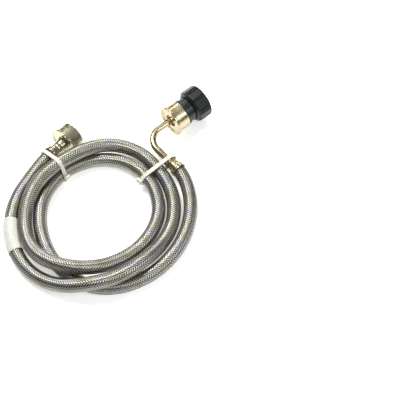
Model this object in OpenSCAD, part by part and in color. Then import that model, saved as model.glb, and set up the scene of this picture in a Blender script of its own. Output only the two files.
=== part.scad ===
// Braided supply line, coiled and tied, with a plain end and a shut-off end.
// Millimetres, +Z up, resting on Z = 0, origin under the middle of the part.
// Both loose-nut ends take a 3/4 in. garden-hose thread.

/* [Hose] */
// outside diameter of the braid
hose_d = 15; // [14.8:0.1:15.2]
// inside diameter of the braid
braid_bore = 13.2; // [13.1:0.05:13.3]
// outside diameter of the liner tube
liner_d = 13; // [12.6:0.1:13]
// bore of the liner tube
liner_bore = 9.5; // [9:0.1:10]

/* [Ferrules] */
// outside diameter of the skirt over the hose
skirt_d = 16.8; // [16.6:0.1:17]
// outside diameter of the crimped barrel
crimp_d = 13; // [12.8:0.1:13.4]
// length of a ferrule
ferrule_l = 19.2; // [19:0.1:19.4]

/* [Metal nuts] */
// outside diameter of a nut body
nut_d = 30.5; // [30:0.1:31]
// outside diameter of the rear rim
rim_d = 34; // [33:0.1:34.2]
// length of a metal nut
nut_l = 16; // [15:0.5:17]
// bore for the 3/4 in. hose thread
thread_bore = 27.2; // [27.15:0.05:27.3]

/* [Elbow end] */
// outside diameter of the bent tube
tube_d = 7.5; // [7:0.1:7.6]
// bore of the bent tube
tube_bore = 5.5; // [5:0.1:6]
// bend radius of the tube
bend_r = 16; // [14:0.5:16.5]

/* [Shut-off coupling] */
// outside diameter of the male thread
male_d = 27; // [26.9:0.02:27.04]
// outside diameter of the collar beside the thread
collar_d = 28.8; // [28:0.2:30]
// across the ribs of the coupling nut
coupling_d = 37; // [36:0.1:37.2]
// flat ribs round the coupling nut
ribs = 8; // [6:1:10]

/* [Ties and label] */
// width of a cable tie strap
strap_w = 4.2; // [3.6:0.1:4.8]
// thickness of a cable tie strap
strap_t = 1.2; // [1:0.1:1.3]
// length of the wrapped label
label_l = 40; // [34:1:44]

/* [Hidden] */
coil_center = [-9, -22.8, 0];
start_angle = 30;
// route of the hose: clockwise angle from the start, radius from the coil centre, height
turns = [
  [0, 94.5, 11], [4, 95.1, 10], [12, 95.3, 8.5], [28, 94.4, 7.5], [58, 92.5, 7.5],
  [90, 91.6, 7.5], [105, 90.8, 7.5], [120, 88.2, 7.5], [135, 82.9, 7.5], [150, 76.3, 7.5],
  [165, 70.5, 7.5], [180, 66, 7.5], [195, 63.3, 7.5], [210, 61.8, 7.5], [241, 60.3, 8.2],
  [260, 60.3, 9.2], [279, 60.9, 8.2], [301, 62.3, 7.5], [328, 63, 8], [346, 62.1, 9.2],
  [361, 61.5, 8.6], [391, 60.9, 7.5], [421, 59.9, 7.5], [445, 61.3, 8.6],
  [461, 64.6, 12.2], [480, 70.7, 18], [495, 75.8, 21.8], [510, 80, 22.6],
  [525, 82.2, 17.9], [540, 81.3, 12.4], [555, 78.6, 10.8], [570, 75.5, 14.8],
  [590, 70.6, 20.4], [611, 65.6, 24.2], [631, 64.3, 25], [646, 68.2, 22], [661, 74.4, 17.1],
  [676, 78.6, 12.6], [691, 79.4, 10], [708, 77.2, 9.2], [723, 77.2, 8.4], [740, 77.2, 7.5],
  [763, 76.8, 7.6], [783, 76.4, 11], [801, 79, 18], [816, 83.6, 21.8], [828, 87.5, 22.9],
  [843, 91.8, 22.6], [856, 95.2, 17.5], [870, 97.6, 11.5], [884, 98.3, 8.6],
  [900, 96.8, 8.1], [916, 93.6, 8.1], [930, 90.2, 8.2], [943, 86.4, 9.8], [952, 83.2, 11.8],
  [961, 81.4, 14.7], [970, 81, 17.4], [979, 82.1, 18.9]
];
last = len(turns) - 1;
end_turn = turns[last][0];
sides = 12;
rings = 74;
samples = 360;

function unit(v) = v / norm(v);
function slope(i, j) =
  (turns[min(i + 1, last)][j] - turns[max(i - 1, 0)][j])
  / (turns[min(i + 1, last)][0] - turns[max(i - 1, 0)][0]);
function piece_of(a, i = 0) = (i >= last - 1 || turns[i + 1][0] > a) ? i : piece_of(a, i + 1);
function blend(p, q, mp, mq, u) =
  (2 * u^3 - 3 * u^2 + 1) * p + (u^3 - 2 * u^2 + u) * mp
  + (3 * u^2 - 2 * u^3) * q + (u^3 - u^2) * mq;
function value(a, j, i) =
  let (h = turns[i + 1][0] - turns[i][0], u = (a - turns[i][0]) / h)
  blend(turns[i][j], turns[i + 1][j], h * slope(i, j), h * slope(i + 1, j), u);
function on_turn(a) =
  let (i = piece_of(a), r = value(a, 1, i), z = value(a, 2, i), t = start_angle - a)
  coil_center + [r * cos(t), r * sin(t), z];

// even spacing along the route
walk = [for (k = [0:samples]) on_turn(end_turn * k / samples)];
run = [for (k = 0, s = 0; k <= samples;
  s = s + (k < samples ? norm(walk[k + 1] - walk[k]) : 0), k = k + 1) s];
turn_at = [for (k = [0:samples]) [run[k], end_turn * k / samples]];
route_l = run[samples];

// plain end: where the hose meets its ferrule, and the way the nut points
plain_end = on_turn(end_turn);
plain_azimuth = 51;
plain_rise = -5;
plain_way = [cos(plain_rise) * cos(plain_azimuth), cos(plain_rise) * sin(plain_azimuth),
  sin(plain_rise)];
plain_nut = ferrule_l + 0.3;

// elbow end: corner of the bent tube, and the way the shut-off points
corner = coil_center + [46.2, 81.9, 18.9];
shut_azimuth = 40.2;
shut_way = [cos(shut_azimuth), sin(shut_azimuth), 0];
elbow_start = on_turn(0);
leg = corner - elbow_start;
leg_l = norm(leg);
leg_way = unit(leg);
bend_turn = acos(leg_way * shut_way);
bend_cut = bend_r * tan(bend_turn / 2);
shut_gap = 6.7;
shut_start = corner + shut_gap * shut_way;

// where the washer ends and the threaded wall begins, along each nut
nut_relief = 7.4;
coupling_relief = 61.9;

// centre line of the hose: inside a ferrule, along the route, inside the other ferrule
hold_l = 16;
neck_l = 6.2;
lip_l = 3.4;
body_points = [for (k = [1:rings - 2]) on_turn(lookup(4 + (route_l - 8) * k / (rings - 1),
  turn_at))];
center_line = concat(
  [elbow_start + leg_way * hold_l, elbow_start + leg_way * neck_l,
    elbow_start + leg_way * lip_l, elbow_start - leg_way],
  body_points,
  [plain_end - plain_way, plain_end + plain_way * lip_l,
    plain_end + plain_way * neck_l, plain_end + plain_way * hold_l]);
ring_count = len(center_line);
braid_out = hose_d / 2;
braid_in = braid_bore / 2;
liner_out = liner_d / 2;
liner_in = liner_bore / 2;
crimp_braid_out = 5.9;
crimp_braid_in = 5.2;
crimp_liner_out = 5.1;
crimp_liner_in = 4.2;
barb_r = 3.95;
barb_bore = 3;

function way_at(line, k) =
  unit(line[min(k + 1, len(line) - 1)] - line[max(k - 1, 0)]);
function ring(line, k, r) =
  let (t = way_at(line, k), n = unit(cross(t, [0, 0, 1])), b = cross(n, t))
  [for (s = [0:sides - 1])
    line[k] + r * (cos(360 * (s + 0.5) / sides) * n + sin(360 * (s + 0.5) / sides) * b)];
function squeezed(k, count) = k < 2 || k > count - 3;
function wrap(s) = s % sides;

// hollow sleeve swept along a line; outer and inner radii are lists, one value a ring
module sleeve(line, outer, inner) {
  n = len(line);
  skin = [for (k = [0:n - 1]) each ring(line, k, outer[k])];
  core = [for (k = [0:n - 1]) each ring(line, k, inner[k])];
  m = n * sides;
  polyhedron(
    points = concat(skin, core),
    faces = concat(
      [for (k = [0:n - 2], s = [0:sides - 1])
        [k * sides + s, k * sides + wrap(s + 1),
          (k + 1) * sides + wrap(s + 1), (k + 1) * sides + s]],
      [for (k = [0:n - 2], s = [0:sides - 1])
        [m + (k + 1) * sides + s, m + (k + 1) * sides + wrap(s + 1),
          m + k * sides + wrap(s + 1), m + k * sides + s]],
      [for (s = [0:sides - 1]) [m + s, m + wrap(s + 1), wrap(s + 1), s]],
      [for (s = [0:sides - 1])
        [(n - 1) * sides + s, (n - 1) * sides + wrap(s + 1),
          m + (n - 1) * sides + wrap(s + 1), m + (n - 1) * sides + s]]),
    convexity = 10);
}

// stands a piece built along +Z at a point, pointing along an azimuth and a rise
module aim(at, azimuth, rise) {
  translate(at)
    rotate([0, 90 - rise, azimuth])
      children();
}
module on_plain() {
  aim(plain_end, plain_azimuth, plain_rise) children();
}
module on_shut() {
  aim(shut_start, shut_azimuth, 0) children();
}
module on_leg() {
  aim(elbow_start, atan2(leg_way[1], leg_way[0]), asin(leg_way[2])) children();
}

module ferrule(neck_bore) {
  skirt_r = skirt_d / 2;
  crimp_r = crimp_d / 2;
  bead_r = crimp_r + 0.7;
  rotate_extrude($fn = 64)
    polygon([[braid_out + 0.3, 0], [skirt_r - 0.25, 0], [skirt_r, 0.3], [skirt_r, 4.2],
      [skirt_r - 0.5, 4.7], [crimp_r, 5.9], [crimp_r, 15.7], [crimp_r + 0.2, 16.1],
      [bead_r, 16.6], [bead_r, 18.2], [crimp_r - 0.4, ferrule_l],
      [neck_bore, ferrule_l], [neck_bore, 17], [crimp_braid_out + 0.1, 16.4],
      [crimp_braid_out + 0.1, 6.3], [braid_out + 0.3, 3.6]]);
}

module hose_nut() {
  r = nut_d / 2;
  rim = rim_d / 2;
  bore = thread_bore / 2;
  rotate_extrude($fn = 96)
    polygon([[7.2, 1], [rim - 3.3, 1], [rim - 2.7, 0], [rim - 0.3, 0], [rim, 0.3],
      [rim, 1.7], [rim - 0.3, 2], [r, 2.3], [r, nut_l - 0.4], [r - 0.4, nut_l],
      [bore + 0.5, nut_l], [bore, nut_l - 0.5], [bore, nut_relief], [bore + 0.3, nut_relief],
      [bore + 0.3, 2.8], [7.2, 2.8]]);
}

module ring_washer(outer, inner, from, thick) {
  translate([0, 0, from])
    difference() {
      cylinder(r = outer, h = thick, $fn = 64);
      translate([0, 0, -1])
        cylinder(r = inner, h = thick + 2, $fn = 64);
    }
}

function per_ring(plain, tight) =
  [for (k = [0:ring_count - 1]) squeezed(k, ring_count) ? tight : plain];

module hose_liner() {
  color("Gainsboro")
    sleeve(center_line, per_ring(liner_out, crimp_liner_out),
      per_ring(liner_in, crimp_liner_in));
}

module hose_braid() {
  color("Silver")
    sleeve(center_line, per_ring(braid_out, crimp_braid_out),
      per_ring(braid_in, crimp_braid_in));
}

module straight_ferrule() {
  color("Silver")
    on_plain() ferrule(4.75);
}

module straight_tailpiece() {
  seat = plain_nut + 2.9;
  color("Goldenrod")
    on_plain()
      rotate_extrude($fn = 64)
        polygon([[barb_bore, 2], [barb_r - 0.4, 2], [barb_r, 2.6], [barb_r, 16.6],
          [4.7, 16.6], [4.7, seat - 0.6], [5.3, seat], [11.75, seat], [11.75, seat + 1.8],
          [barb_bore, seat + 1.8]]);
}

module straight_nut() {
  color("LightGray")
    on_plain()
      translate([0, 0, plain_nut])
        hose_nut();
}

module straight_washer() {
  color("DimGray")
    on_plain()
      ring_washer(12.75, 6, plain_nut + 4.75, 2.6);
}

module elbow_ferrule() {
  color("Silver")
    on_leg() ferrule(tube_d / 2 + 0.05);
}

// bent tube: barb, straight leg, bend, straight leg, flange
module elbow_tube() {
  b = acos(leg_way[2]);
  c = atan2(leg_way[1], leg_way[0]);
  side_x = [cos(b) * cos(c), cos(b) * sin(c), -sin(b)];
  side_y = [-sin(c), cos(c), 0];
  roll = atan2(shut_way * side_y, shut_way * side_x);
  r = tube_d / 2;
  bore = tube_bore / 2;
  from_bend = shut_gap - bend_cut;
  // the far leg takes in the end of the bend, so the tube is one solid
  lap = 0.03;
  color("Silver")
    translate(elbow_start)
      rotate([0, b, c])
        rotate([0, 0, roll]) {
          rotate_extrude($fn = 64)
            polygon([[bore, 2], [barb_r - 0.4, 2], [barb_r, 2.6], [barb_r, 16],
              [r, 16.6], [r, leg_l - bend_cut], [bore, leg_l - bend_cut]]);
          translate([bend_r, 0, leg_l - bend_cut]) {
            rotate([90, 0, 180])
              rotate_extrude(angle = bend_turn, $fn = 96)
                translate([bend_r, 0])
                  difference() {
                    circle(r = r, $fn = 64);
                    circle(r = bore, $fn = 64);
                  }
            rotate([0, bend_turn, 0])
              translate([-bend_r, 0, 0])
                rotate_extrude($fn = 64)
                  polygon([[bore - lap, -lap], [r + lap, -lap], [r + lap, from_bend + 28.8],
                    [r + 0.9, from_bend + 29.9], [11.75, from_bend + 29.9],
                    [11.75, from_bend + 31.7], [bore - lap, from_bend + 31.7]]);
          }
        }
}

module elbow_nut() {
  color("LightGray")
    on_shut()
      translate([0, 0, 27])
        hose_nut();
}

module elbow_washer() {
  color("DimGray")
    on_shut() ring_washer(12.75, 6, 31.75, 2.55);
}

module shutoff_body() {
  m = male_d / 2;
  c = collar_d / 2;
  color("DarkSlateGray")
    on_shut()
      rotate_extrude($fn = 96)
        polygon([[4, 34.35], [m - 0.7, 34.35], [m, 35.1], [m, 43.3], [c - 0.3, 43.3],
          [c, 43.6], [c, 46.1], [c - 0.3, 46.4], [13.3, 46.6], [13.3, 52.6], [12.9, 53],
          [10.5, 53], [10.5, 57.1], [9.2, 57.1], [9.2, 50], [8, 50], [8, 40], [5.5, 40],
          [5.5, 36], [4, 36]]);
}

module swivel_sleeve() {
  color("Goldenrod")
    on_shut()
      rotate_extrude($fn = 64)
        polygon([[7.6, 50.1], [9.1, 50.1], [9.1, 57.2], [11.9, 57.2], [11.9, 59],
          [7.6, 59]]);
}

module guide_cage() {
  color("WhiteSmoke")
    on_shut() {
      ring_washer(7.5, 6.3, 50.6, 3);
      ring_washer(3, 1.6, 50.6, 3);
      for (k = [0:2])
        rotate([0, 0, 120 * k])
          translate([2.6, -0.6, 50.9])
            cube([4, 1.2, 2.4]);
    }
}

module poppet() {
  color("WhiteSmoke")
    on_shut()
      rotate_extrude($fn = 64)
        polygon([[0, 45.2], [3.4, 45.2], [3.4, 46], [7.2, 46], [7.2, 47.4], [6.4, 48],
          [2.2, 48], [1.5, 49], [1.5, 57.6], [1.1, 58], [0, 58]]);
}

module poppet_seal() {
  color("DimGray")
    on_shut() ring_washer(7.1, 5.6, 44.9, 1.05);
}

spring_sides = 6;
spring_steps = 14;
spring_turns = 5;
spring_r = 4.7;
wire_r = 0.32;

module poppet_spring() {
  n = spring_turns * spring_steps;
  line = [for (k = [0:n])
    let (a = 360 * k / spring_steps)
    [spring_r * cos(a), spring_r * sin(a), 36.4 + 9.2 * k / n]];
  points = [for (k = [0:n], s = [0:spring_sides - 1])
    let (t = way_at(line, k), u = unit([line[k][0], line[k][1], 0]), v = cross(t, u),
      a = 360 * s / spring_sides)
    line[k] + wire_r * (cos(a) * u + sin(a) * v)];
  color("Silver")
    on_shut()
      polyhedron(points = points, faces = concat(
        [for (k = [0:n - 1], s = [0:spring_sides - 1])
          [k * spring_sides + s, k * spring_sides + (s + 1) % spring_sides,
            (k + 1) * spring_sides + (s + 1) % spring_sides, (k + 1) * spring_sides + s]],
        [[for (s = [spring_sides - 1:-1:0]) s]],
        [[for (s = [0:spring_sides - 1]) n * spring_sides + s]]), convexity = 10);
}

// ribbed swivel nut: eight flat panels with a narrow double rib at each corner
module coupling_nut() {
  outer = coupling_d / 2;
  flat = outer - 1.6;
  bore = thread_bore / 2;
  color("DimGray")
    on_shut()
      difference() {
        union() {
          rotate_extrude($fn = 96)
            polygon([[5, 53.2], [15.2, 53.2], [flat, 55.6], [flat, 70.4],
              [flat - 0.6, 71], [5, 71]]);
          for (k = [0:ribs - 1], side = [-1, 1])
            rotate([0, 0, 360 * (k + 0.5) / ribs + side * 3.6])
              translate([flat - 1, -0.6, 55.4])
                cube([2.5, 1.2, 15.3]);
          for (k = [0:ribs - 1])
            rotate([0, 0, 360 * k / ribs])
              translate([flat - 1.4, -4, 55.9])
                cube([2.2, 8, 14.6]);
        }
        translate([0, 0, 50])
          cylinder(r = 10.8, h = 10, $fn = 96);
        translate([0, 0, 57])
          cylinder(r = bore + 0.3, h = coupling_relief - 57, $fn = 96);
        translate([0, 0, 60])
          cylinder(r = bore, h = 20, $fn = 96);
        translate([0, 0, 70.5])
          cylinder(r1 = bore, r2 = bore + 0.7, h = 0.7, $fn = 96);
      }
}

module coupling_washer() {
  color("DimGray")
    on_shut() ring_washer(12.9, 8, 59.1, 2.6);
}

module inlet_screen() {
  color("Silver")
    on_shut()
      difference() {
        translate([0, 0, 59.05])
          cylinder(r = 7.9, h = 0.7, $fn = 64);
        translate([0, 0, 58])
          cylinder(r = 0.8, h = 3, $fn = 24);
        for (k = [0:5])
          rotate([0, 0, 60 * k])
            translate([2.6, 0, 58])
              cylinder(r = 0.85, h = 3, $fn = 24);
        for (k = [0:11])
          rotate([0, 0, 30 * k + 15])
            translate([5.2, 0, 58])
              cylinder(r = 0.95, h = 3, $fn = 24);
      }
}

// outline of a strap pulled tight round circles given as [distance, height, radius]
function reach(c, a) = c[0] * cos(a) + c[1] * sin(a) + c[2];
function farthest(list, a, i = 0, best = 0) =
  i == len(list) ? best
  : farthest(list, a, i + 1, reach(list[i], a) > reach(list[best], a) ? i : best);
function tight_loop(list, gap) = [for (a = [0:7.5:352.5])
  let (c = list[farthest(list, a)])
  [c[0], c[1]] + (c[2] + gap) * [cos(a), sin(a)]];

module cable_tie(angle, circles, head_at) {
  color("WhiteSmoke")
    translate(coil_center)
      rotate([90, 0, angle])
        union() {
          linear_extrude(height = strap_w, center = true)
            difference() {
              polygon(tight_loop(circles, 0.2 + strap_t));
              polygon(tight_loop(circles, 0.2));
            }
          translate([head_at[0], head_at[1], 0])
            rotate([0, 0, head_at[2]]) {
              translate([-2.2, -3.4, -3.2])
                cube([4.4, 6.4, 6.4]);
              translate([-1, 2.4, -strap_w / 2])
                cube([strap_t, 4.8, strap_w]);
            }
        }
}

function place_at(a) = let (i = piece_of(a)) [value(a, 1, i), value(a, 2, i)];
tie_1_angle = 134;
// the second strap passes round the crimped barrel of the elbow ferrule
tie_2_at = elbow_start + 14.5 * leg_way - coil_center;
tie_2_angle = atan2(tie_2_at[1], tie_2_at[0]);

module cable_tie_1() {
  a = start_angle + 360 - tie_1_angle;
  inner_pass = place_at(a);
  middle_pass = place_at(a + 360);
  outer_pass = place_at(a + 720);
  cable_tie(tie_1_angle, [
    [inner_pass[0], inner_pass[1], braid_out], [middle_pass[0], middle_pass[1], braid_out],
    [outer_pass[0], outer_pass[1], braid_out]], [inner_pass[0] - 10.2, 13.5, 12]);
}

module cable_tie_2() {
  a = start_angle + 360 - tie_2_angle;
  inner_pass = place_at(a);
  middle_pass = place_at(a + 360);
  cable_tie(tie_2_angle, [
    [inner_pass[0], inner_pass[1], braid_out], [middle_pass[0], middle_pass[1], braid_out],
    [norm([tie_2_at[0], tie_2_at[1]]), tie_2_at[2], crimp_d / 2 + 0.7]], [inner_pass[0] - 10.2, 12.5, 12]);
}

// wrapped round the outer pass on the left
label_ring = 70;

module hose_label() {
  p = center_line[label_ring];
  q = center_line[label_ring + 1];
  before = center_line[label_ring - 1];
  after = center_line[label_ring + 2];
  spare = (label_l - norm(q - p)) / 2;
  line = [p + unit(before - p) * spare, p, q, q + unit(after - q) * spare];
  color("White")
    sleeve(line, [for (k = line) braid_out + 0.55], [for (k = line) braid_out + 0.3]);
}

hose_liner();
hose_braid();
straight_ferrule();
straight_tailpiece();
straight_nut();
straight_washer();
elbow_ferrule();
elbow_tube();
elbow_nut();
elbow_washer();
shutoff_body();
swivel_sleeve();
guide_cage();
poppet();
poppet_seal();
poppet_spring();
coupling_nut();
coupling_washer();
inlet_screen();
cable_tie_1();
cable_tie_2();
hose_label();
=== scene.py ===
from math import acos, asin, atan2, cos, pi, radians, sin, tan

import bpy
import numpy as np
from mathutils import Matrix, Vector


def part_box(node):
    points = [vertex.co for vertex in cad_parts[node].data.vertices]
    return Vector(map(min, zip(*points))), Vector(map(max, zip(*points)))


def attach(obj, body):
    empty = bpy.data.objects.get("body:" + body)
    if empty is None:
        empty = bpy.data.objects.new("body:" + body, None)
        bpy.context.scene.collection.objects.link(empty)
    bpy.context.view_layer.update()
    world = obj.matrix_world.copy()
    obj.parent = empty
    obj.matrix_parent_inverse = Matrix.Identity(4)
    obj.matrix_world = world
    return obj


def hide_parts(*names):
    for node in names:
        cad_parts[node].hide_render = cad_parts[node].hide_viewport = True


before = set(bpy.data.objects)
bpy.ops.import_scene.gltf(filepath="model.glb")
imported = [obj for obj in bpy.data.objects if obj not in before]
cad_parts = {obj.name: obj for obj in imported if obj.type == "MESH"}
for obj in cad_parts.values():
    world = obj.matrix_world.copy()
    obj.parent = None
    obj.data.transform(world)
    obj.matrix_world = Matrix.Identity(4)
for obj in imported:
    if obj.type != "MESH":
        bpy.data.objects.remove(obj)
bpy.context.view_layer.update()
MM = 0.001

# ---------------------------------------------------------------- the hose's route
# Each turn is (degrees wound clockwise from START_ANGLE, distance from the coil's centre, height).
COIL_CENTER = np.array([-9.0, -22.8, 0.0])
START_ANGLE = 30.0
TURNS = [
    (0, 94.5, 11), (4, 95.1, 10), (12, 95.3, 8.5), (28, 94.4, 7.5), (58, 92.5, 7.5),
    (90, 91.6, 7.5), (105, 90.8, 7.5), (120, 88.2, 7.5), (135, 82.9, 7.5), (150, 76.3, 7.5),
    (165, 70.5, 7.5), (180, 66, 7.5), (195, 63.3, 7.5), (210, 61.8, 7.5), (241, 60.3, 8.2),
    (260, 60.3, 9.2), (279, 60.9, 8.2), (301, 62.3, 7.5), (328, 63, 8), (346, 62.1, 9.2),
    (361, 61.5, 8.6), (391, 60.9, 7.5), (421, 59.9, 7.5), (445, 61.3, 8.6),
    (461, 64.6, 12.2), (480, 70.7, 18), (495, 75.8, 21.8), (510, 80, 22.6),
    (525, 82.2, 17.9), (540, 81.3, 12.4), (555, 78.6, 10.8), (570, 75.5, 14.8),
    (590, 70.6, 20.4), (611, 65.6, 24.2), (631, 64.3, 25), (646, 68.2, 22),
    (661, 74.4, 17.1), (676, 78.6, 12.6), (691, 79.4, 10), (708, 77.2, 9.2),
    (723, 77.2, 8.4), (740, 77.2, 7.5), (763, 76.8, 7.6), (783, 76.4, 11), (801, 79, 18),
    (816, 83.6, 21.8), (828, 87.5, 22.9), (843, 91.8, 22.6), (856, 95.2, 17.5),
    (870, 97.6, 11.5), (884, 98.3, 8.6), (900, 96.8, 8.1), (916, 93.6, 8.1),
    (930, 90.2, 8.2), (943, 86.4, 9.8), (952, 83.2, 11.8), (961, 81.4, 14.7),
    (970, 81, 17.4), (979, 82.1, 18.9),
]
LAST = len(TURNS) - 1
END_TURN = TURNS[LAST][0]
HOSE_R = 7.5
HOLD = 16.0  # hose inside each ferrule


def slope(i, j):
    """Slope of column j at turn i, for a smooth curve through the turns."""
    a, b = TURNS[min(i + 1, LAST)], TURNS[max(i - 1, 0)]
    return (a[j] - b[j]) / (a[0] - b[0])


def value(a, j):
    """Column j of the turns at a wound angle of a degrees."""
    i = 0
    while i < LAST - 1 and TURNS[i + 1][0] <= a:
        i += 1
    h = TURNS[i + 1][0] - TURNS[i][0]
    u = (a - TURNS[i][0]) / h
    p, q = TURNS[i][j], TURNS[i + 1][j]
    mp, mq = h * slope(i, j), h * slope(i + 1, j)
    return ((2 * u**3 - 3 * u * u + 1) * p + (u**3 - 2 * u * u + u) * mp
            + (3 * u * u - 2 * u**3) * q + (u**3 - u * u) * mq)


def on_turn(a):
    t = radians(START_ANGLE - a)
    return COIL_CENTER + np.array([value(a, 1) * cos(t), value(a, 1) * sin(t), value(a, 2)])


def unit(v):
    return v / np.linalg.norm(v)


def way(azimuth, rise):
    """Unit direction from a heading and a rise, in degrees."""
    a, b = radians(azimuth), radians(rise)
    return np.array([cos(b) * cos(a), cos(b) * sin(a), sin(b)])


PLAIN_AZIMUTH, PLAIN_RISE = 51.0, -5.0
SHUT_AZIMUTH, SHUT_GAP = 40.2, 6.7
PLAIN_NUT = 19.5
plain_end = on_turn(END_TURN)
plain_way = way(PLAIN_AZIMUTH, PLAIN_RISE)
corner = COIL_CENTER + np.array([46.2, 81.9, 18.9])
shut_way = way(SHUT_AZIMUTH, 0.0)
shut_start = corner + SHUT_GAP * shut_way
elbow_start = on_turn(0)
leg = corner - elbow_start
leg_l = float(np.linalg.norm(leg))
leg_way = unit(leg)

ROUTE_STEPS = 900
IN_FERRULE = (2.0, 4.0, 8.0, 12.0, HOLD)
route = np.array([elbow_start + leg_way * s for s in reversed(IN_FERRULE)]
                 + [on_turn(END_TURN * k / ROUTE_STEPS) for k in range(ROUTE_STEPS + 1)]
                 + [plain_end + plain_way * s for s in IN_FERRULE])
route_gaps = np.linalg.norm(np.diff(route, axis=0), axis=1)
along = np.concatenate([[0.0], np.cumsum(route_gaps)])
ROUTE_L = float(along[-1])


def smooth_line(step):
    """The route at an even step, with its own side and up directions, in millimetres."""
    n = int(round(ROUTE_L / step))
    s = np.linspace(0.0, ROUTE_L, n + 1)
    p = np.stack([np.interp(s, along, route[:, j]) for j in range(3)], axis=1)
    for _ in range(6):
        p[2:-2] = 0.5 * p[2:-2] + 0.25 * (p[1:-3] + p[3:-1])
    t = np.gradient(p, axis=0)
    t /= np.linalg.norm(t, axis=1)[:, None]
    side = np.cross(t, [0.0, 0.0, 1.0])
    side /= np.linalg.norm(side, axis=1)[:, None]
    up = np.cross(side, t)
    return s, p, side, up


# ---------------------------------------------------------------- camera
VIEW_W = 400.0
FOCUS_PX = 1235.0
SENSOR_W = 36.0
TILT = 60.0
VIEW_DISTANCE = 1.3
AIM_RIGHT, AIM_BACK = 104.2, 17.0  # from the coil's centre; the coil fills the left half of the view
camera_data = bpy.data.cameras.new("camera")
camera_data.sensor_width = SENSOR_W
camera_data.lens = FOCUS_PX / VIEW_W * SENSOR_W
camera_data.clip_start = 0.05
camera = bpy.data.objects.new("camera", camera_data)
bpy.context.collection.objects.link(camera)
target = Vector((COIL_CENTER[0] + AIM_RIGHT, COIL_CENTER[1] + AIM_BACK, 0.0)) * MM
camera.location = target + Vector((0.0, -cos(radians(TILT)), sin(radians(TILT)))) * VIEW_DISTANCE
camera.rotation_euler = (radians(90.0 - TILT), 0.0, 0.0)
bpy.context.scene.camera = camera


# ---------------------------------------------------------------- materials
def material(name):
    """A new material, its node tree and its main shader."""
    m = bpy.data.materials.new(name)
    m.use_nodes = True
    nt = m.node_tree
    shader = nt.nodes["Principled BSDF"]
    return m, nt, shader


def node(nt, kind, **sockets):
    """A node with some inputs set; an underscore stands for a space in an input's name."""
    n = nt.nodes.new(kind)
    for key, val in sockets.items():
        n.inputs[key.replace("_", " ")].default_value = val
    return n


def ramp(nt, source, stops):
    """Maps a 0 to 1 value through (position, grey or colour) stops."""
    r = nt.nodes.new("ShaderNodeValToRGB")
    while len(r.color_ramp.elements) < len(stops):
        r.color_ramp.elements.new(0.5)
    for e, (pos, c) in zip(r.color_ramp.elements, stops):
        e.position = pos
        e.color = (c[0], c[1], c[2], 1.0) if hasattr(c, "__len__") else (c, c, c, 1.0)
    nt.links.new(source, r.inputs["Fac"])
    return r


def noise(nt, scale, detail=4.0, rough=0.55, stretch=None, coords="Object"):
    tc = nt.nodes.new("ShaderNodeTexCoord")
    mp = nt.nodes.new("ShaderNodeMapping")
    if stretch:
        mp.inputs["Scale"].default_value = stretch
    nt.links.new(tc.outputs[coords], mp.inputs["Vector"])
    n = node(nt, "ShaderNodeTexNoise", Scale=scale, Detail=detail, Roughness=rough)
    nt.links.new(mp.outputs["Vector"], n.inputs["Vector"])
    return n


def bump(nt, shader, height, strength, distance, previous=None):
    b = node(nt, "ShaderNodeBump", Strength=strength, Distance=distance)
    nt.links.new(height, b.inputs["Height"])
    if previous is not None:
        nt.links.new(previous.outputs["Normal"], b.inputs["Normal"])
    nt.links.new(b.outputs["Normal"], shader.inputs["Normal"])
    return b


def metal(name, low, high, rough_low, rough_high, turned=True):
    """Turned, plated metal: fine lathe lines round the axis, cloudy colour and small wear."""
    m, nt, sh = material(name)
    sh.inputs["Metallic"].default_value = 1.0
    cloud = noise(nt, 45.0, 3.0)
    tint = ramp(nt, cloud.outputs["Fac"], [(0.25, low), (0.75, high)])
    nt.links.new(tint.outputs["Color"], sh.inputs["Base Color"])
    grime = noise(nt, 90.0, 3.0, 0.5)
    r = ramp(nt, grime.outputs["Fac"], [(0.35, rough_low), (0.72, rough_high)])
    nt.links.new(r.outputs["Color"], sh.inputs["Roughness"])
    lines = noise(nt, 6.0, 2.0, 0.5, stretch=(0.3, 4.0, 1.0) if turned else (1.0, 1.0, 1.0),
                  coords="UV" if turned else "Object")
    bump(nt, sh, lines.outputs["Fac"], 0.12, 0.00004)
    return m


def plastic(name, low, high, rough, grain=0.25):
    """Moulded plastic or rubber: slightly uneven colour and a fine grain."""
    m, nt, sh = material(name)
    cloud = noise(nt, 120.0, 4.0)
    tint = ramp(nt, cloud.outputs["Fac"], [(0.3, low), (0.75, high)])
    nt.links.new(tint.outputs["Color"], sh.inputs["Base Color"])
    marks = noise(nt, 700.0, 5.0, 0.6)
    r = ramp(nt, marks.outputs["Fac"], [(0.3, rough - 0.06), (0.75, rough + 0.12)])
    nt.links.new(r.outputs["Color"], sh.inputs["Roughness"])
    bump(nt, sh, marks.outputs["Fac"], grain, 0.0002)
    return m


nickel = metal("warm_nickel", (0.58, 0.55, 0.40), (0.68, 0.65, 0.50), 0.2, 0.3)
champagne = metal("champagne_nickel", (0.50, 0.43, 0.27), (0.62, 0.54, 0.36), 0.2, 0.32)
brass = metal("turned_brass", (0.62, 0.48, 0.22), (0.8, 0.66, 0.36), 0.2, 0.36)
steel = metal("drawn_steel", (0.5, 0.5, 0.48), (0.7, 0.7, 0.68), 0.22, 0.4, turned=False)
black = plastic("black_plastic", (0.002, 0.006, 0.006), (0.005, 0.012, 0.012), 0.34)
dark = plastic("dark_plastic", (0.003, 0.007, 0.010), (0.007, 0.013, 0.018), 0.3)
cream = plastic("white_plastic", (0.72, 0.72, 0.68), (0.84, 0.84, 0.8), 0.4)
rubber = plastic("black_rubber", (0.012, 0.012, 0.012), (0.03, 0.03, 0.03), 0.62, 0.5)
nylon = plastic("natural_nylon", (0.70, 0.70, 0.60), (0.82, 0.82, 0.74), 0.34, 0.15)
nylon_shader = nylon.node_tree.nodes["Principled BSDF"]
nylon_shader.inputs["Subsurface Weight"].default_value = 0.25
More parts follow.
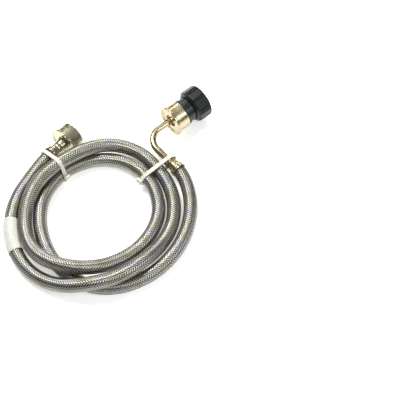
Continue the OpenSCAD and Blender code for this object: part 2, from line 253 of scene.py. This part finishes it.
nylon_shader.inputs["Subsurface Radius"].default_value = (0.002, 0.002, 0.0016)
under = plastic("liner_rubber", (0.010, 0.010, 0.010), (0.02, 0.02, 0.022), 0.7)


WIRES = 7


def multiply(nt, first, second):
    """Product of two colours."""
    mix = nt.nodes.new("ShaderNodeMix")
    mix.data_type = "RGBA"
    mix.blend_type = "MULTIPLY"
    mix.inputs["Factor"].default_value = 1.0
    nt.links.new(first, mix.inputs[6])
    nt.links.new(second, mix.inputs[7])
    return mix.outputs[2]


def strand_material():
    """A flat bundle of fine wires: V runs across the bundle, U along it. Its colour holds painted
    shade: darker in the grooves between the wires, towards each strand's edges and where a strand dips
    under another.
    """
    m, nt, sh = material("braid_steel")
    sh.inputs["Metallic"].default_value = 1.0
    tc = nt.nodes.new("ShaderNodeTexCoord")
    split = nt.nodes.new("ShaderNodeSeparateXYZ")
    nt.links.new(tc.outputs["UV"], split.inputs["Vector"])
    turns = node(nt, "ShaderNodeMath")
    turns.operation = "MULTIPLY"
    turns.inputs[1].default_value = WIRES * pi
    nt.links.new(split.outputs["Y"], turns.inputs[0])
    wave = nt.nodes.new("ShaderNodeMath")
    wave.operation = "SINE"
    nt.links.new(turns.outputs[0], wave.inputs[0])
    wires = nt.nodes.new("ShaderNodeMath")
    wires.operation = "ABSOLUTE"
    nt.links.new(wave.outputs[0], wires.inputs[0])
    cloud = noise(nt, 60.0, 5.0)
    tint = ramp(nt, cloud.outputs["Fac"],
                [(0.3, (0.42, 0.41, 0.30)), (0.5, (0.56, 0.55, 0.48)), (0.72, (0.47, 0.47, 0.58))])
    # painted shade: the colour darkens in the grooves between the fine wires
    gap = ramp(nt, wires.outputs[0], [(0.0, 0.25), (0.35, 1.0)])
    # painted shade: a strand's colour darkens where it dips under a crossing strand, read from the
    # crossing attribute
    over = nt.nodes.new("ShaderNodeAttribute")
    over.attribute_name = "crossing"
    shade = ramp(nt, over.outputs["Fac"], [(0.0, 0.12), (0.45, 0.4), (0.85, 1.0)])
    # painted shade: each strand's colour darkens towards its edges, where it meets the strands beside
    # it
    edge = ramp(nt, split.outputs["Y"],
                [(0.0, 0.2), (0.2, 0.8), (0.5, 1.0), (0.8, 0.8), (1.0, 0.2)])
    color = tint.outputs["Color"]
    for darkening in (gap, shade, edge):
        color = multiply(nt, color, darkening.outputs["Color"])
    nt.links.new(color, sh.inputs["Base Color"])
    wear = noise(nt, 500.0, 3.0)
    r = ramp(nt, wear.outputs["Fac"], [(0.3, 0.28), (0.75, 0.38)])
    nt.links.new(r.outputs["Color"], sh.inputs["Roughness"])
    bump(nt, sh, wires.outputs[0], 0.18, 0.0001)
    return m


braid_steel = strand_material()


# ---------------------------------------------------------------- mesh helpers
def mesh_object(name, points, faces, mat, body="hose", uv=None, weighted=False):
    """points in metres; faces an (n, 4) array or a list of tuples."""
    me = bpy.data.meshes.new(name)
    me.from_pydata([tuple(p) for p in points], [], [tuple(int(i) for i in f) for f in faces])
    if uv is not None:
        layer = me.uv_layers.new(name="UVMap")
        layer.data.foreach_set("uv", np.asarray(uv, np.float32).ravel())
    me.polygons.foreach_set("use_smooth", [True] * len(me.polygons))
    me.materials.append(mat)
    me.update()
    ob = bpy.data.objects.new(name, me)
    bpy.context.collection.objects.link(ob)
    if weighted:
        mod = ob.modifiers.new("normals", "WEIGHTED_NORMAL")
        mod.weight = 80
    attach(ob, body)
    return ob


def big_mesh(name, points, quads, mat, body, uv):
    """The same for many faces, filled in from arrays."""
    me = bpy.data.meshes.new(name)
    me.vertices.add(len(points))
    me.vertices.foreach_set("co", np.asarray(points, np.float32).ravel())
    me.loops.add(quads.size)
    me.loops.foreach_set("vertex_index", quads.astype(np.int32).ravel())
    me.polygons.add(len(quads))
    me.polygons.foreach_set("loop_start", np.arange(0, quads.size, 4, dtype=np.int32))
    layer = me.uv_layers.new(name="UVMap")
    layer.data.foreach_set("uv", np.asarray(uv[quads.ravel()], np.float32).ravel())
    me.update(calc_edges=True)
    me.validate()
    me.polygons.foreach_set("use_smooth", np.ones(len(me.polygons), bool))
    me.materials.append(mat)
    ob = bpy.data.objects.new(name, me)
    bpy.context.collection.objects.link(ob)
    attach(ob, body)
    return ob


def rounded(profile, radius, steps=3):
    """Closed outline with its corners turned into small arcs."""
    pts = [np.array(p, float) for p in profile]
    out = []
    n = len(pts)
    for i in range(n):
        a, b, c = pts[i - 1], pts[i], pts[(i + 1) % n]
        la, lc = np.linalg.norm(a - b), np.linalg.norm(c - b)
        d = min(radius, 0.42 * la, 0.42 * lc)
        p, q = b + (a - b) / la * d, b + (c - b) / lc * d
        for k in range(steps + 1):
            u = k / steps
            out.append((1 - u) ** 2 * p + 2 * u * (1 - u) * b + u * u * q)
    return np.array(out)


def revolve(name, profile, place, mat, body="hose", around=96, shape=None):
    """Turns a closed (radius, height) outline round the local axis. shape may change the radius."""
    prof = np.asarray(profile, float)
    a = np.linspace(0.0, 2 * pi, around, endpoint=False)
    r = np.repeat(prof[:, :1], around, axis=1)
    if shape is not None:
        r = shape(r, np.repeat(prof[:, 1:], around, axis=1), a[None, :])
    z = np.repeat(prof[:, 1:], around, axis=1)
    pts = np.stack([r * np.cos(a), r * np.sin(a), z], axis=2).reshape(-1, 3) * MM
    rows = len(prof)
    i = np.arange(rows)[:, None]
    j = np.arange(around)[None, :]
    i2, j2 = (i + 1) % rows, (j + 1) % around
    faces = np.stack([i * around + j, i * around + j2, i2 * around + j2, i2 * around + j],
                     axis=2).reshape(-1, 4)
    area = sum(prof[k - 1][0] * prof[k][1] - prof[k][0] * prof[k - 1][1] for k in range(rows))
    if area < 0:
        faces = faces[:, ::-1]
    m = np.array(place)
    pts = pts @ m[:3, :3].T + m[:3, 3]
    step = np.linalg.norm(np.roll(prof, -1, axis=0) - prof, axis=1) / 10.0
    v0 = np.concatenate([[0.0], np.cumsum(step)])
    lo, hi = v0[:rows][:, None] + 0 * j, v0[1:][:, None] + 0 * j
    left, right = j / around + 0 * i, (j + 1) / around + 0 * i
    uv = np.stack([np.stack([left, lo], 2), np.stack([right, lo], 2), np.stack([right, hi], 2),
                   np.stack([left, hi], 2)], axis=2).reshape(-1, 4, 2)
    if area < 0:
        uv = uv[:, ::-1]
    return mesh_object(name, pts, faces, mat, body, uv=uv.reshape(-1, 2), weighted=True)


def aim(at, azimuth, rise):
    """Frame at a point in millimetres whose local Z runs along a heading and a rise."""
    return (Matrix.Translation(Vector(at) * MM) @ Matrix.Rotation(radians(azimuth), 4, "Z")
            @ Matrix.Rotation(radians(90 - rise), 4, "Y"))


def tube(name, line, radii, mat, body="hose", around=48):
    """Round tube with closed ends along points in millimetres, with a radius at each."""
    p = np.asarray(line, float)
    t = np.gradient(p, axis=0)
    t /= np.linalg.norm(t, axis=1)[:, None]
    side = np.cross(t, [0.0, 0.0, 1.0])
    side /= np.linalg.norm(side, axis=1)[:, None]
    up = np.cross(side, t)
    a = np.linspace(0, 2 * pi, around, endpoint=False)
    r = np.broadcast_to(np.asarray(radii, float), (len(p),))[:, None, None]
    pts = p[:, None] + r * (np.cos(a)[None, :, None] * side[:, None]
                            + np.sin(a)[None, :, None] * up[:, None])
    i = np.arange(len(p) - 1)[:, None]
    j = np.arange(around)[None, :]
    j2 = (j + 1) % around
    faces = np.stack([i * around + j, i * around + j2, (i + 1) * around + j2,
                      (i + 1) * around + j], axis=2).reshape(-1, 4).tolist()
    faces.append(list(range(around))[::-1])
    faces.append([(len(p) - 1) * around + k for k in range(around)])
    return mesh_object(name, pts.reshape(-1, 3) * MM, faces, mat, body)


PITCH = 2.2087


def thread(name, place, root, crest, start, end, mat, body, around=72):
    """Right-hand ridge that winds up the local axis, from its root radius to its crest."""
    n = int((end - start) / PITCH * around)
    rows = []
    for k in range(n + 1):
        a = 2 * pi * k / around
        z = start + PITCH * k / around
        fade = min(1.0, k / 20, (n - k) / 20)
        c = root + (crest - root) * max(fade, 0.02)
        base, top = 0.44 * PITCH, 0.1 * PITCH
        rows.append([(root, -base), (c, -top), (c, top), (root, base)])
        rows[-1] = [(r * cos(a), r * sin(a), z + h) for r, h in rows[-1]]
    pts = np.array(rows).reshape(-1, 3) * MM
    m = np.array(place)
    pts = pts @ m[:3, :3].T + m[:3, 3]
    faces = []
    for k in range(n):
        for s in range(3):
            faces.append((4 * k + s, 4 * k + s + 1, 4 * k + 5 + s, 4 * k + 4 + s))
    if crest > root:
        faces = [f[::-1] for f in faces]
    return mesh_object(name, pts, faces, mat, body)


# ---------------------------------------------------------------- hose
UNDER_HELD_R, UNDER_R = 5.5, 6.95
BRAID_HELD_R, BRAID_R = 5.6, 7.03
CRIMP_AT, FLARE = 7.0, 3.6


def freed(s):
    """0 in a ferrule's crimp, rising smoothly to 1 near its mouth and along the free hose."""
    u = np.clip((np.minimum(s, ROUTE_L - s) - (HOLD - CRIMP_AT)) / FLARE, 0.0, 1.0)
    return u * u * (3 - 2 * u)


s_line, p_line, side_line, up_line = smooth_line(2.0)
liner = tube("hose_underlay", p_line, UNDER_HELD_R + (UNDER_R - UNDER_HELD_R) * freed(s_line), under,
             around=24)
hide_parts("hose_liner")

CARRIERS = 12
LEAD = 30.0
STRAND_W = 1.52
LIFT = 0.2
CROWN, EDGE_DROP = 0.26, 0.12
STRANDS_IN_PIECE = 6
s_mid, p_mid, side_mid, up_mid = smooth_line(LEAD / 72)
full = freed(s_mid)
braid_r = BRAID_HELD_R + (BRAID_R - BRAID_HELD_R) * full
tangent = np.gradient(p_mid, axis=0)
tangent /= np.linalg.norm(tangent, axis=1)[:, None]


def strand(hand, k):
    """One flat bundle of wires that winds round the hose, over two and under two."""
    a = 2 * pi * k / CARRIERS + hand * 2 * pi * s_mid / LEAD
    crossing = 2 * CARRIERS * s_mid / LEAD + 2 * hand * k
    wave = np.sin(pi / 2 * crossing + hand * pi / 4)
    over = np.clip(wave * 1.9, -1.0, 1.0)
    r = braid_r + over * LIFT * (0.35 + 0.65 * full)
    radial = np.cos(a)[:, None] * side_mid + np.sin(a)[:, None] * up_mid
    round_way = -np.sin(a)[:, None] * side_mid + np.cos(a)[:, None] * up_mid
    run = tangent * LEAD + hand * round_way * (2 * pi * r)[:, None]
    run /= np.linalg.norm(run, axis=1)[:, None]
    across = np.cross(run, radial)
    half = 0.5 * STRAND_W * (0.82 + 0.18 * full)
    rows = []
    for v in (-1.0, 0.0, 1.0):
        turn = v * half / r
        flat = across * (r * np.sin(turn))[:, None]
        top = radial * (r * np.cos(turn) + (CROWN if v == 0.0 else -EDGE_DROP))[:, None]
        rows.append(p_mid + flat + top)
    pts = np.stack(rows, axis=1).reshape(-1, 3)
    n = len(s_mid)
    i = np.arange(n - 1)[:, None]
    j = np.arange(2)[None, :]
    quads = np.stack([3 * i + j, 3 * i + j + 1, 3 * i + j + 4, 3 * i + j + 3], axis=2)
    u = np.repeat(s_mid / 10.0, 3)
    w = np.tile([0.0, 0.5, 1.0], n)
    return pts * MM, quads.reshape(-1, 4), np.stack([u, w], axis=1), np.repeat(0.5 + 0.5 * over, 3)


for part, (hand, first) in enumerate(((1, 0), (1, STRANDS_IN_PIECE), (-1, 0), (-1, STRANDS_IN_PIECE))):
    points, quads, uvs, tops, count = [], [], [], [], 0
    for k in range(first, first + STRANDS_IN_PIECE):
        p, q, uv, top = strand(hand, k)
        points.append(p)
        quads.append(q + count)
        uvs.append(uv)
        tops.append(top)
        count += len(p)
    ob = big_mesh(f"hose_braid_{part + 1}", np.concatenate(points), np.concatenate(quads),
                  braid_steel, "hose", np.concatenate(uvs))
    # the crossing attribute holds how far up each strand lies; the braid material paints shade from it
    crossing = ob.data.attributes.new("crossing", "FLOAT", "POINT")
    crossing.data.foreach_set("value", np.concatenate(tops).astype(np.float32))
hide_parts("hose_braid")

# ---------------------------------------------------------------- ferrules, tailpiece, tube
plain = aim(plain_end, PLAIN_AZIMUTH, PLAIN_RISE)
leg_frame = aim(elbow_start, np.degrees(atan2(leg_way[1], leg_way[0])),
                np.degrees(asin(leg_way[2])))
shut = aim(shut_start, SHUT_AZIMUTH, 0.0)


def ferrule(name, place, neck, node_name, mat):
    """Rolled lip, crimped grooves and a collar; neck is the radius of the hole at the far end."""
    outline = [(7.8, 0), (8.15, 0), (8.4, 0.3), (8.4, 1.3), (8.15, 1.6), (8.15, 3.6), (7.9, 4.3),
               (6.9, 5.0), (6.5, 5.8), (6.5, 8.2), (6.3, 8.6), (6.3, 9.4), (6.5, 9.8), (6.5, 12.4),
               (6.3, 12.8), (6.3, 13.6), (6.5, 14), (6.5, 15.7), (6.7, 16.1), (7.2, 16.6),
               (7.2, 18.2), (6.1, 19.2), (neck, 19.2), (neck, 17), (6.0, 16.4), (6.0, 6.3),
               (7.8, 3.6)]

    def crimp(r, z, a):
        inside = (z > 6.6) & (z < 15.4) & (r > 6.1)
        return r - inside * 0.13 * (0.5 + 0.5 * np.cos(8 * a))

    ob = revolve(name, rounded(outline, 0.25, 2), place, mat, around=96, shape=crimp)
    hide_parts(node_name)
    # a thin black rubber ring round the hose at the ferrule's mouth
    revolve(name + "_seal", rounded([(7.3, -1.2), (8.05, -1.2), (8.15, -0.05), (7.3, -0.05)], 0.2, 2),
            place, rubber, around=64)


ferrule("plain_ferrule", plain, 4.75, "straight_ferrule", nickel)
ferrule("bent_ferrule", leg_frame, 3.8, "elbow_ferrule", champagne)
seat = PLAIN_NUT + 2.9
tail = revolve("tailpiece", rounded([(3, 2), (3.55, 2), (3.95, 2.6), (3.95, 16.6), (4.7, 16.6),
                                     (4.7, seat - 0.6), (5.3, seat), (11.75, seat),
                                     (11.75, seat + 1.8), (3, seat + 1.8)], 0.2, 2),
               plain, nickel)
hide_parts("straight_tailpiece")

BEND_R = 16.0
TUBE_R = 3.75
turn = acos(float(np.dot(leg_way, shut_way)))
cut = BEND_R * tan(turn / 2)
normal = unit(shut_way - np.dot(shut_way, leg_way) * leg_way)
bend_start = corner - leg_way * cut
line, radii = [], []
for t in (16.7, 18.9, 19.2, 19.6, 22.0, 25.0, 28.0, 31.0):
    if t < leg_l - cut:
        line.append(elbow_start + leg_way * t)
        radii.append(TUBE_R)
steps = 28
for k in range(steps + 1):
    a = turn * k / steps
    line.append(bend_start + leg_way * (BEND_R * sin(a)) + normal * (BEND_R * (1 - cos(a))))
    radii.append(TUBE_R * (1.0 - 0.025 * sin(pi * k / steps)))
for t in (12.5, 15.0, 17.5, 20.0, 22.5, 25.0, 27.0, 28.2, 28.8, 29.4, 29.9):
    line.append(shut_start + shut_way * t)
    radii.append(TUBE_R + (0.0 if t < 28.5 else 0.9 * (t - 28.5) / 1.4))
bent = tube("bent_tube", line, radii, champagne, around=56)
barb = revolve("bent_tube_barb", rounded([(2.75, 2), (3.55, 2), (3.95, 2.6), (3.95, 16.2),
                                          (3.7, 16.9), (2.75, 16.9)], 0.15, 2),
               leg_frame, champagne, around=64)
flange = revolve("bent_tube_flange", rounded([(2.75, 29.7), (4.65, 29.9), (11.75, 29.9),
                                              (11.75, 31.7), (2.75, 31.7)], 0.2, 2),
                 shut, champagne, around=80)
for ob in (bent, barb, flange):
    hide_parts("elbow_tube")


# ---------------------------------------------------------------- loose metal nuts
THREAD_ROOT_R, THREAD_CREST_R = 13.62, 12.5


def hose_nut(name, place, start, body, node_name, mat):
    """Round garden-hose nut with a rim, an inner flange and a cut thread."""
    base = [(7.2, 1), (13.55, 1), (14.0, 0.75), (14.3, 0), (16.7, 0), (17.0, 0.3), (17.0, 1.7),
            (16.65, 2.05), (15.5, 2.15), (15.25, 2.6), (15.25, 15.3), (14.7, 16), (14.1, 16),
            (13.6, 15.5), (13.6, 7.4), (13.9, 7.3), (13.9, 2.8), (7.2, 2.8)]
    outline = rounded([(r, t + start) for r, t in base], 0.4, 4)
    ob = revolve(name, outline, place, mat, body, around=128)
    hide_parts(node_name)
    thread(name + "_thread", place, THREAD_ROOT_R, THREAD_CREST_R, start + 8.2, start + 15.2, mat, body)


hose_nut("plain_nut", plain, PLAIN_NUT, "straight_nut", "straight_nut", nickel)
hose_nut("bent_nut", shut, 27.0, "elbow_nut", "elbow_nut", champagne)

# ---------------------------------------------------------------- shut-off body
valve = revolve("valve_body", rounded(
    [(4, 34.35), (12.0, 34.35), (12.45, 35.0), (12.45, 42.6), (13.0, 43.3), (14.1, 43.3),
     (14.4, 43.6), (14.4, 46.1), (14.1, 46.4), (13.3, 46.6), (13.3, 52.6), (12.9, 53), (10.5, 53),
     (10.5, 57.1), (9.2, 57.1), (9.2, 50), (8, 50), (8, 40), (5.5, 40), (5.5, 36), (4, 36)],
    0.3, 3), shut, dark, "shutoff", around=112)
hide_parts("shutoff_body")
thread("valve_thread", shut, 12.43, 13.42, 35.6, 42.4, dark, "shutoff")


# ---------------------------------------------------------------- ribbed coupling nut
NUT_RIM_R = 14.9
PANEL_R, GROOVE_R, RIB_RISE = 17.7, 16.9, 1.5
PANEL_HALF, RIB_HALF, RIB_SLOPE = 4.0, 0.75, 0.25


def ribbed(r, z, a):
    """Eight flat panels, a pair of narrow ribs at each corner, chamfered at both ends."""
    outer = r > NUT_RIM_R
    step = pi / 4
    panel = (a + step / 2) % step - step / 2
    corner_a = a % step - step / 2
    flat = np.where(np.abs(PANEL_R * np.tan(panel)) < PANEL_HALF, PANEL_R / np.cos(panel), GROOVE_R)
    rib = np.zeros_like(flat)
    for side in (-1, 1):
        d = corner_a - side * radians(3.6)
        rise = np.clip((RIB_HALF - np.abs(18.0 * np.sin(d))) / RIB_SLOPE, 0.0, 1.0)
        rib = np.maximum(rib, GROOVE_R + RIB_RISE * rise * rise * (3 - 2 * rise))
    ribs_and_flats = np.maximum(flat, rib)
    limit = np.interp(z, [53.2, 53.7, 55.6, 55.9, 56.6, 70.1, 70.7, 71.0],
                      [14.8, 15.3, 16.9, 17.7, 18.45, 18.45, 18.2, 17.8])
    return np.where(outer, np.minimum(ribs_and_flats, limit), r)


heights = [53.2, 53.45, 53.7, 54.3, 55.0, 55.6, 55.75, 55.9, 56.2, 56.6, 58, 62, 66, 69.6, 70.1,
           70.4, 70.7, 70.9, 71.0]
outline = [(18.6, h) for h in heights]
outline += [(NUT_RIM_R - 0.01, 71.0), (14.5, 71.0), (14.25, 70.95), (13.7, 70.45), (13.6, 70.2),
            (13.6, 61.95), (13.9, 61.8), (13.9, 57.1), (13.8, 57.0), (10.9, 57.0), (10.8, 56.9),
            (10.8, 53.3), (10.9, 53.2), (14.6, 53.2)]
nut = revolve("ribbed_nut", outline, shut, black, "coupling_nut", around=1152, shape=ribbed)
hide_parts("coupling_nut")
thread("ribbed_nut_thread", shut, THREAD_ROOT_R, THREAD_CREST_R, 62.8, 70.0, black, "coupling_nut")

# inner pieces keep their solids, with real finishes
finishes = {
    "straight_washer": rubber, "elbow_washer": rubber, "coupling_washer": rubber,
    "swivel_sleeve": brass, "guide_cage": cream, "poppet": cream, "poppet_seal": rubber,
    "poppet_spring": steel, "inlet_screen": steel,
}
for name, mat in finishes.items():
    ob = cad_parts[name]
    ob.data.materials.clear()
    ob.data.materials.append(mat)


# ---------------------------------------------------------------- cable ties
TIE_1_ANGLE = 134.0
TIE_W, TIE_T, TIE_GAP = 4.2, 1.2, 0.2


def tight_loop(circles, gap, count=180):
    """Outline of a strap pulled round (x, y, radius) circles, held off them by gap."""
    out = []
    for k in range(count):
        a = 2 * pi * k / count
        c = max(circles, key=lambda q: q[0] * cos(a) + q[1] * sin(a) + q[2])
        out.append((c[0] + (c[2] + gap) * cos(a), c[1] + (c[2] + gap) * sin(a)))
    return np.array(out)


def tie(name, angle, circles, head, node_name):
    """Strap round the passes at one angle of the coil; head is its (x, y, turn) in that section."""
    place = (Matrix.Translation(Vector(COIL_CENTER) * MM) @ Matrix.Rotation(radians(angle), 4, "Z")
             @ Matrix.Rotation(radians(90), 4, "X"))
    m = np.array(place)
    inner = tight_loop(circles, TIE_GAP)
    outer = tight_loop(circles, TIE_GAP + TIE_T)
    n = len(inner)
    # strap section as (depth, width) shares: rounded edges and a channel with cross ribs outside
    section = [(0.0, -0.5), (0.12, -0.47), (0.85, -0.5), (1.0, -0.44), (1.0, -0.3), (0.88, -0.27),
               (0.88, 0.27), (1.0, 0.3), (1.0, 0.44), (0.85, 0.5), (0.12, 0.47), (0.0, 0.5)]
    pts = []
    for k in range(n):
        for depth, across in section:
            rib = 0.1 if (depth == 0.88 and k % 2 == 0) else 0.0
            d = depth - rib
            q = inner[k] * (1 - d) + outer[k] * d
            pts.append((q[0], q[1], across * TIE_W))
    c = len(section)
    faces = [(k * c + s, k * c + (s + 1) % c,
              ((k + 1) % n) * c + (s + 1) % c, ((k + 1) % n) * c + s)
             for k in range(n) for s in range(c)]
    pts = np.array(pts) * MM
    pts = pts @ m[:3, :3].T + m[:3, 3]
    band = mesh_object(name + "_strap", pts, faces, nylon, "hose")
    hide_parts(node_name)
    spin = place @ Matrix.Translation(Vector((head[0], head[1], 0)) * MM) @ Matrix.Rotation(
        radians(head[2]), 4, "Z")
    for suffix, size, at in (("_head", (4.4, 6.4, 6.4), (0.0, -0.2, 0.0)),
                             ("_tail", (1.2, 4.8, 4.2), (-0.4, 4.8, 0.0))):
        bpy.ops.mesh.primitive_cube_add(size=1)
        ob = bpy.context.active_object
        ob.name = name + suffix
        ob.data.transform(Matrix.Diagonal((*[v * MM for v in size], 1.0)))
        ob.data.transform(Matrix.Translation(Vector(at) * MM))
        ob.data.transform(spin)
        bev = ob.modifiers.new("edges", "BEVEL")
        bev.width = (0.9 if suffix == "_head" else 0.3) * MM
        bev.segments = 4
        ob.data.polygons.foreach_set("use_smooth", [True] * 6)
        nm = ob.modifiers.new("normals", "WEIGHTED_NORMAL")
        nm.weight = 80
        ob.data.materials.append(nylon)
        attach(ob, "hose")


def place_at(a):
    """Distance from the coil's centre and height of the hose at a wound angle."""
    return value(a, 1), value(a, 2)


a1 = START_ANGLE + 360 - TIE_1_ANGLE
first, second, third = place_at(a1), place_at(a1 + 360), place_at(a1 + 720)
tie("tie_1", TIE_1_ANGLE, [(*first, HOSE_R), (*second, HOSE_R), (*third, HOSE_R)],
    (first[0] - 10.2, 13.5, 12), "cable_tie_1")
crossed = elbow_start + 14.5 * leg_way - COIL_CENTER
tie_2_angle = np.degrees(atan2(crossed[1], crossed[0]))
a2 = START_ANGLE + 360 - tie_2_angle
first, second = place_at(a2), place_at(a2 + 360)
tie("tie_2", tie_2_angle,
    [(*first, HOSE_R), (*second, HOSE_R), (np.hypot(crossed[0], crossed[1]), crossed[2], 7.2)],
    (first[0] - 10.2, 12.5, 12), "cable_tie_2")

# ---------------------------------------------------------------- wrapped label
label_low, label_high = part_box("hose_label")
inside = np.all((p_mid * MM > np.array(label_low) - 0.0005)
                & (p_mid * MM < np.array(label_high) + 0.0005), axis=1)
last_pass = s_mid > 0.8 * ROUTE_L
where = np.flatnonzero(inside & last_pass)
mid_s = 0.5 * (s_mid[where[0]] + s_mid[where[-1]])


def paper():
    """Pale paper with plain grey-green bars in place of print."""
    m, nt, sh = material("label_paper")
    tc = nt.nodes.new("ShaderNodeTexCoord")
    mp = nt.nodes.new("ShaderNodeMapping")
    nt.links.new(tc.outputs["UV"], mp.inputs["Vector"])
    mp.inputs["Scale"].default_value = (1.0, 14.0, 1.0)
    bars = node(nt, "ShaderNodeTexBrick", Scale=3.0)
    bars.inputs["Mortar Size"].default_value = 0.045
    bars.inputs["Color1"].default_value = (0.70, 0.72, 0.67, 1)
    bars.inputs["Color2"].default_value = (0.34, 0.38, 0.34, 1)
    bars.inputs["Mortar"].default_value = (0.74, 0.75, 0.70, 1)
    nt.links.new(mp.outputs["Vector"], bars.inputs["Vector"])
    nt.links.new(bars.outputs["Color"], sh.inputs["Base Color"])
    fibres = noise(nt, 1500.0, 4.0)
    r = ramp(nt, fibres.outputs["Fac"], [(0.3, 0.38), (0.7, 0.55)])
    nt.links.new(r.outputs["Color"], sh.inputs["Roughness"])
    bump(nt, sh, fibres.outputs["Fac"], 0.2, 0.0001)
    return m


LABEL_HALF = 19.5
LABEL_R, LABEL_OVERLAP_RISE = 7.78, 0.14
pick = (s_mid > mid_s - LABEL_HALF) & (s_mid < mid_s + LABEL_HALF)
lp, ls, lu = p_mid[pick][::2], side_mid[pick][::2], up_mid[pick][::2]
rows, around = len(lp), 64
a = np.linspace(-0.04, 2 * pi + 0.25, around)
rr = LABEL_R + LABEL_OVERLAP_RISE * np.linspace(0, 1, around)
pts = lp[:, None] + rr[None, :, None] * (np.cos(a)[None, :, None] * ls[:, None]
                                         + np.sin(a)[None, :, None] * lu[:, None])
i = np.arange(rows - 1)[:, None]
j = np.arange(around - 1)[None, :]
quads = np.stack([i * around + j, i * around + j + 1, (i + 1) * around + j + 1,
                  (i + 1) * around + j], axis=2).reshape(-1, 4)
uu, vv = np.meshgrid(np.linspace(0, 1, rows), np.linspace(0, 1, around), indexing="ij")
uvs = np.stack([uu.ravel(), vv.ravel()], axis=1)
label = big_mesh("wrap_label", pts.reshape(-1, 3) * MM, quads, paper(), "hose", uvs)
solid = label.modifiers.new("thickness", "SOLIDIFY")
solid.thickness = 0.0001
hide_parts("hose_label")

# ---------------------------------------------------------------- floor and light
bpy.ops.mesh.primitive_plane_add(size=6.0, location=(0, 0, 0))
floor = bpy.context.active_object
floor.name = "floor"
floor_paint, _, sh = material("pale_floor")
sh.inputs["Base Color"].default_value = (0.93, 0.93, 0.92, 1)
sh.inputs["Roughness"].default_value = 0.9
sh.inputs["Specular IOR Level"].default_value = 0.1
sh.inputs["Emission Color"].default_value = (1.0, 1.0, 1.0, 1)
sh.inputs["Emission Strength"].default_value = 0.45
floor.data.materials.append(floor_paint)

world = bpy.data.worlds.new("studio")
bpy.context.scene.world = world
world.use_nodes = True
wn = world.node_tree
back = wn.nodes["Background"]
tc = wn.nodes.new("ShaderNodeTexCoord")
split = wn.nodes.new("ShaderNodeSeparateXYZ")
wn.links.new(tc.outputs["Generated"], split.inputs["Vector"])
sky = ramp(wn, split.outputs["Z"], [(0.0, (0.20, 0.20, 0.16)), (0.35, (0.05, 0.052, 0.04)),
                                    (0.62, (0.10, 0.10, 0.11)), (0.9, (0.4, 0.4, 0.39))])
wn.links.new(sky.outputs["Color"], back.inputs["Color"])
back.inputs["Strength"].default_value = 1.0


def area(name, at, size, power, color, size_y):
    """Rectangular soft light aimed at the coil; place and sizes in metres, power in watts."""
    data = bpy.data.lights.new(name, "AREA")
    data.energy = power
    data.color = color
    data.size = size
    data.shape = "RECTANGLE"
    data.size_y = size_y
    ob = bpy.data.objects.new(name, data)
    bpy.context.collection.objects.link(ob)
    ob.location = at
    ob.rotation_euler = (Vector((0.0, 0.0, 0.02)) - Vector(at)).to_track_quat("-Z", "Y").to_euler()


area("key", (-0.5, 0.5, 1.5), 0.7, 24, (1.0, 0.99, 0.96), 0.5)
area("fill", (0.9, -0.7, 1.2), 0.9, 12, (0.97, 0.98, 1.0), 0.6)
area("strip", (0.2, 1.3, 0.7), 1.0, 9, (1.0, 0.97, 0.92), 0.2)

bpy.context.scene.view_settings.view_transform = "Standard"
